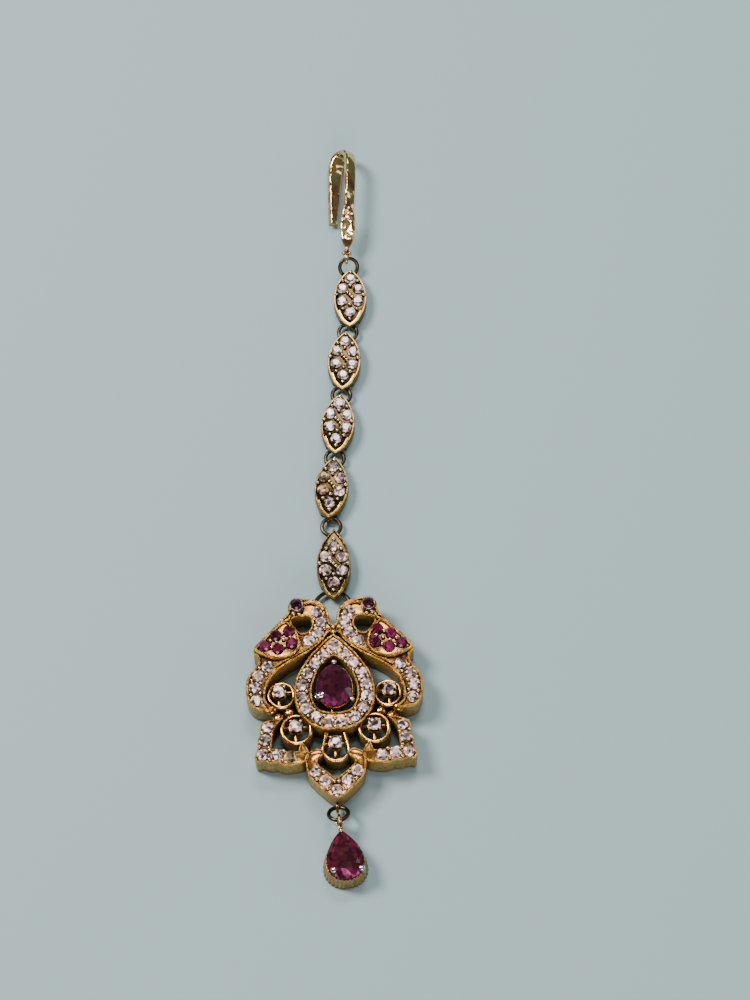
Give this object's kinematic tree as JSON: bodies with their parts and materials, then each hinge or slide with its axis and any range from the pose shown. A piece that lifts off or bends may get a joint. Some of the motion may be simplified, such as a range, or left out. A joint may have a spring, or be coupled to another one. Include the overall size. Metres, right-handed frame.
{
  "type": "maang tikka",
  "caption": "Head jewel with a hook, a chain of stone-set navette links, a pierced medallion of two facing peacocks round a pear stone, and a small pear drop.",
  "frame": {"origin": "bottom centre of the whole jewel's box, as it lies face up", "axes": "+X to the wearer's left as seen from the front, +Y from the drop to the hook, +Z out of the face"},
  "size_m": [0.024, 0.1122, 0.0051],
  "materials": {
    "gold": "antique gold plate, worn and tarnished",
    "dark_ring": "darkened wire",
    "white_stone": "cut and polished, clear",
    "ruby": "cut and polished, deep red"
  },
  "bodies": {
    "root": {"hook": "gold", "hook_ring": "dark_ring", "link_1": "gold", "link_2": "gold", "link_3": "gold", "link_4": "gold", "link_5": "gold", "ring_1_2": "dark_ring", "ring_2_3": "dark_ring", "ring_3_4": "dark_ring", "ring_4_5": "dark_ring", "medallion_frame": "gold", "centre_ruby": "ruby", "wing_ruby_left_1": "ruby", "wing_ruby_left_2": "ruby", "wing_ruby_left_3": "ruby", "wing_ruby_left_4": "ruby", "wing_ruby_left_5": "ruby", "eye_ruby_left": "ruby", "solitaire_upper_left": "white_stone", "solitaire_lower_left": "white_stone", "wing_ruby_right_1": "ruby", "wing_ruby_right_2": "ruby", "wing_ruby_right_3": "ruby", "wing_ruby_right_4": "ruby", "wing_ruby_right_5": "ruby", "eye_ruby_right": "ruby", "solitaire_upper_right": "white_stone", "solitaire_lower_right": "white_stone", "solitaire_bottom": "white_stone", "drop_ring": "dark_ring", "drop_setting": "gold", "drop_ruby": "ruby"}
  },
  "joints": []
}
